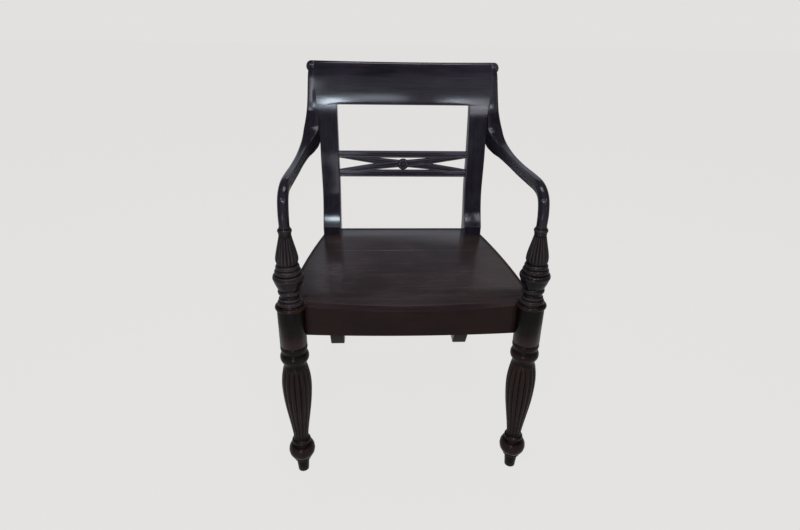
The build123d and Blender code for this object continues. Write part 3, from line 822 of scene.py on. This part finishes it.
def armRings(s):
    rows = [(k, *row) for k, row in enumerate(s["stations"])]
    count = (len(rows) - 1) * s["between"]
    centres = [between(rows, k / s["between"]) for k in range(count + 1)]
    rings = []
    for k, (depth, height, x, width, thickness, roundness, reeding) in enumerate(centres):
        before, after = centres[max(k - 1, 0)], centres[min(k + 1, count)]
        along = Vector((after[2] - before[2], after[0] - before[0], after[1] - before[1])).normalized()
        if k == count:
            along = Vector((0, 0, -1))
        across = (Vector((1, 0, 0)) - along * along.x).normalized()
        up = along.cross(across)
        roundness, reeding = min(max(roundness, 0), 1), min(max(reeding, 0), 1)
        ring = []
        for u, v in armSection(s, width, thickness, reeding):
            turn = math.atan2(v / thickness, u / width)
            u += (math.cos(turn) * width / 2 - u) * roundness
            v += (math.sin(turn) * thickness / 2 - v) * roundness
            point = spot(x, depth, height) + (across * u + up * v) * mm
            point.x = max(point.x, (backHalf(point.z / mm) + s["gap"]) * mm)
            ring.append(point)
        rings.append(ring)
    return rings


armRight = growRings("armRight", armRings(armShape))
armLeft = mirrored(armRight, "armLeft")
complete(armRight, ["arm_right"])
complete(armLeft, ["arm_left"])
print("arms made")

# cross splat with bead lines and a carved boss
splatShape = {
    "front": 467.0,
    "back": 481.0,
    "mid": 640.5,
    "upper": (657.6, 674.6),
    "lower": (604.2, 622.0),
    "bead": 4.6,
    "barBead": 0.75,        # of the rails' bead
    "quirk": 3.2,           # depth of the groove above the bead
    "quirkWidth": 2.4,
    "quirkEdge": 0.3,
    "backEdge": 0.8,
    "crown": 1.5,
    "crownSharp": 0.7,
    "sectionSteps": 6,
    "barHalf": 6.8,
    "barSwell": 1.5,        # extra half height at the crossing
    "slope": (0.08617, 0.0002734),      # rise of a bar per millimetre, and its bow
    "reach": 177,
    "swellReach": 125,
    "steps": 48,
    "lap": 0.8,             # how far one bar lies behind the other
    "gap": 0.1,             # of the front bar behind the rails' face
    "trim": 0.3,            # how far the bars run into the rails
    "rosetteRadius": 15.6,
    "petals": 8,
    "petalFrom": 5.6,       # radius where the petals begin
    "petalOver": 3,
    "petalSharp": 0.7,
    "petalSink": 2.2,
    "petalWaist": 0.07,
    "bossFoot": 0.4,        # how far the boss reaches behind the rails' face
    "corners": 96,
    "dome": ((0.05, -10.5), (1.6, -10.3), (3, -9.7), (4.2, -8.8), (5, -7.6), (5.6, -6.4), (6.4, -6.0), (7.6, -6.9),
             (9.2, -7.3), (11, -7.0), (12.6, -5.9), (13.9, -4.3), (15.1, -2.6), (15.6, -1.2), (15.6, 0.4),
             (0.05, 0.4)),  # radius and depth in front of the rails
}


def splatRing(s, x, low, high, front, back, bead):
    # front from the lower edge up: bead, quirk, crowned field
    turns = [math.pi * i / s["sectionSteps"] for i in range(s["sectionSteps"] + 1)]
    points = [(front + bead / 2 - bead / 2 * math.sin(turn), low + bead / 2 - bead / 2 * math.cos(turn))
              for turn in turns]
    foot = low + bead + s["quirkWidth"]
    points += [(front + s["quirk"], low + bead + s["quirkEdge"]), (front + s["quirk"], foot - s["quirkEdge"])]
    points += [(front + s["crown"] - s["crown"] * math.sin(turn) ** s["crownSharp"],
                foot + (high - foot) * (1 - math.cos(turn)) / 2) for turn in turns]
    edge = s["backEdge"]
    points += [(back - edge, high), (back, high - edge), (back, low + edge), (back - edge, low)]
    return [spot(x, d, z) for d, z in points]


def addSplatRail(s, name, place, node):
    low, high = place
    half = straight(backLegShape["inner"], low) + 1
    columns = (-half, -half / 2, 0, half / 2, half)
    rings = [splatRing(s, x, low, high, s["front"], s["back"], s["bead"]) for x in columns]
    complete(growRings(name, rings), [node])


def addDiagonal(s, name, side, node):
    rings = []
    for i in range(s["steps"] + 1):
        x = -s["reach"] + 2 * s["reach"] * i / s["steps"]
        rise = side * math.copysign(s["slope"][0] * abs(x) + s["slope"][1] * x * x, x)
        centre = s["mid"] + rise
        front = s["front"] + (s["gap"] if side > 0 else s["lap"])
        back = s["back"] - (s["lap"] if side > 0 else s["gap"])
        half = s["barHalf"] + s["barSwell"] * max(1 - (x / s["swellReach"]) ** 2, 0)
        rings.append(splatRing(s, x, centre - half, centre + half, front, back, s["bead"] * s["barBead"]))
    piece = growRings(name, rings)
    for way, edge in ((1, s["upper"][0] + s["trim"]), (-1, s["lower"][1] - s["trim"])):
        edit(piece)
        bpy.ops.mesh.bisect(plane_co=spot(0, 0, edge), plane_no=(0, 0, way), use_fill=True, clear_outer=True)
        bpy.ops.object.mode_set(mode="OBJECT")
    complete(piece, [node])


def addRosette(s):
    rings = []
    for r, d in s["dome"]:
        petal = min(max((r - s["petalFrom"]) / s["petalOver"], 0), 1) if d < 0 else 0
        ring = []
        for i in range(s["corners"]):
            turn = 2 * math.pi * i / s["corners"]
            lobe = abs(math.cos(s["petals"] * turn / 2)) ** s["petalSharp"]
            sink = petal * (1 - lobe) * s["petalSink"] * (r < s["rosetteRadius"])
            reach = r * (1 - s["petalWaist"] * petal * (1 - lobe))
            depth = s["front"] + min(d + sink, s["bossFoot"])
            ring.append(spot(reach * math.cos(turn), depth, s["mid"] + reach * math.sin(turn)))
        rings.append(ring)
    complete(growRings("splatRosette", rings), ["splat_rosette"])


addSplatRail(splatShape, "splatRailUpper", splatShape["upper"], "splat_rail_upper")
addSplatRail(splatShape, "splatRailLower", splatShape["lower"], "splat_rail_lower")
addDiagonal(splatShape, "splatDiagonalRising", 1, "splat_diagonal_rising")
addDiagonal(splatShape, "splatDiagonalFalling", -1, "splat_diagonal_falling")
addRosette(splatShape)
print("splat made")

# flat pieces keep the solids' outline and get eased edges, in millimetres
easedEdges = {
    "front_rail": 1.2, "side_rail_left": 1.0, "side_rail_right": 1.0, "back_rail": 1.0,
    "seat_board_front": 0.7, "seat_board_middle": 0.7, "seat_board_back": 0.7,
}


def camel(name):
    first, *rest = name.split("_")
    return first + "".join(word.capitalize() for word in rest)


def paintedTopLight(centre, normal):
    return float(normal.z > 0.9)        # painted light: the rails' upward faces are lighter, like the seat


for node, width in easedEdges.items():
    piece = nodes[node].copy()
    piece.data = nodes[node].data.copy()
    piece.name = camel(node)
    bpy.context.collection.objects.link(piece)
    edit(piece)
    bpy.ops.mesh.remove_doubles(threshold=1e-6)
    bpy.ops.mesh.dissolve_limited(angle_limit=math.radians(0.5))
    bpy.ops.object.mode_set(mode="OBJECT")
    eased(piece, width)
    complete(piece, [node], smooth=25)
    # the rails' upward faces get a painted lighter colour
    if not node.startswith("seat"):
        markTint(piece, paintedTopLight)
print("seat made")

# floor, world and lamps
lightSettings = {
    "background": rgb(226, 225, 223),
    "wall": rgb(139, 145, 157),
    "ceiling": rgb(58, 61, 70),
    "horizon": (0.2, 0.42), # heights where the wall ends and the ceiling begins
    "ambient": 0.95,
    "backdropGloss": 0.1,   # share of the pale backdrop that polished wood sees near the horizon
    "backdropFade": 4.5,
    "floorSize": 60,
    "floorRough": 0.9,
    "floorShine": 0.1,
    "floorGlow": 1.06,
    "floorGloss": 0.3,      # share of the pale floor that polished wood sees
    "floorShare": 0.93,     # the rest of the floor takes light and keeps the shadow
}
lamps = {
    # place, aim, size, power, colour
    "windowLeft": ((-0.395, -2.0, 2.17), (0, 0.2, 0.8), (0.14, 0.2), 9, (0.76, 0.88, 1)),
    "paneLeft": ((-0.7, -2.0, 2.74), (0, 0.2, 0.8), (0.18, 0.5), 4, (0.88, 0.9, 1)),
    "lowLeft": ((-0.36, -1.7, 0.36), (-0.2, 0.2, 0.6), (0.34, 0.66), 2.5, (0.86, 0.88, 1)),
    "windowRight": ((0.52, -2.0, 2.25), (0, 0.2, 0.8), (0.14, 0.1), 1.5, (0.8, 0.9, 1)),
    "paneRight": ((0.68, -2.0, 2.06), (0, 0.2, 0.8), (0.26, 0.44), 4.1, (0.88, 0.88, 1)),
    "windowMiddle": ((-0.06, -2.0, 2.34), (0, 0.2, 0.8), (0.38, 0.16), 2.4, (0.8, 0.88, 1)),
    "wallFront": ((0.1, -2.0, 2.7), (0, 0.2, 0.8), (2.0, 0.9), 4.7, (0.84, 0.9, 1)),
    "sideLeft": ((-1.5, -1.6, 2.4), (0, 0.1, 0.7), (0.4, 0.8), 9, (0.8, 0.9, 1)),
    "sideRight": ((1.5, -1.6, 2.4), (0, 0.1, 0.7), (0.25, 0.7), 6, (1, 0.8, 0.58)),
    "softTop": ((0.1, 0.5, 2.8), (0, 0.1, 0.5), (0.9, 0.9), 14, (0.92, 0.96, 1)),
    "cardBack": ((-0.45, 2.5, 1.68), (-0.1, 0, 0.45), (0.25, 0.4), 0.12, (0.85, 0.93, 1)),
    "cardRight": ((1.0, 2.5, 1.82), (0.2, -0.1, 0.45), (0.6, 0.6), 0.3, (1, 0.88, 0.82)),
}


def addWorld(s):
    world = bpy.data.worlds.new("studio")
    bpy.context.scene.world = world
    world.use_nodes = True
    sky = Shader("studio", world.node_tree)
    sky.nodes.clear()
    coords = sky.add("ShaderNodeTexCoord").out("Generated")
    height = sky.add("ShaderNodeSeparateXYZ", inputs={0: coords}).out(2)
    wallTop, ceilingEdge = s["horizon"]
    colour = sky.ramp(height, [(wallTop, s["wall"]), (ceilingEdge, s["ceiling"])])
    path = sky.add("ShaderNodeLightPath")
    lit = sky.add("ShaderNodeBackground", inputs={"Color": colour, "Strength": s["ambient"]})
    pale = sky.add("ShaderNodeBackground", inputs={"Color": (*s["background"], 1), "Strength": 1.0})
    low = (1 - (height - wallTop) * s["backdropFade"]).clamped()
    seen = path.out("Is Camera Ray").maths("MAXIMUM", path.out("Is Glossy Ray") * low * s["backdropGloss"])
    seen = seen.maths("MAXIMUM", path.out("Is Transmission Ray"))
    mix = sky.add("ShaderNodeMixShader", inputs={0: seen, 1: lit.out(), 2: pale.out()})
    sky.add("ShaderNodeOutputWorld", inputs={"Surface": mix.out()})


def addFloor(s):
    bpy.ops.object.select_all(action="DESELECT")
    bpy.ops.mesh.primitive_plane_add(size=s["floorSize"])
    floor = bpy.context.object
    floor.name = "floor"
    shader = Shader("paleFloor")
    shader.surface.inputs["Base Color"].default_value = (*s["background"], 1)
    shader.surface.inputs["Roughness"].default_value = s["floorRough"]
    shader.surface.inputs["Specular IOR Level"].default_value = s["floorShine"]
    glow = shader.add("ShaderNodeEmission", inputs={"Color": (*s["background"], 1), "Strength": s["floorGlow"]})
    path = shader.add("ShaderNodeLightPath")
    seen = path.out("Is Camera Ray").maths("MAXIMUM", path.out("Is Glossy Ray") * s["floorGloss"])
    seen = seen.maths("MAXIMUM", path.out("Is Transmission Ray"))
    mix = shader.add("ShaderNodeMixShader",
                     inputs={0: seen * s["floorShare"], 1: Link(shader, shader.surface.outputs[0]), 2: glow.out()})
    shader.links.new(mix.node.outputs[0], shader.nodes["Material Output"].inputs[0])
    floor.data.materials.append(shader.material)


def addLamp(name, place, aim, size, power, colour):
    bpy.ops.object.light_add(type="AREA", location=place)
    lamp = bpy.context.object
    lamp.name = name
    lamp.data.shape = "RECTANGLE"
    lamp.data.size, lamp.data.size_y = size
    lamp.data.energy = power
    lamp.data.color = colour
    lamp.rotation_euler = (Vector(aim) - Vector(place)).to_track_quat("-Z", "Y").to_euler()


addWorld(lightSettings)
addFloor(lightSettings)
for name, settings in lamps.items():
    addLamp(name, *settings)
bpy.context.scene.view_settings.view_transform = "Standard"
print("stage set")
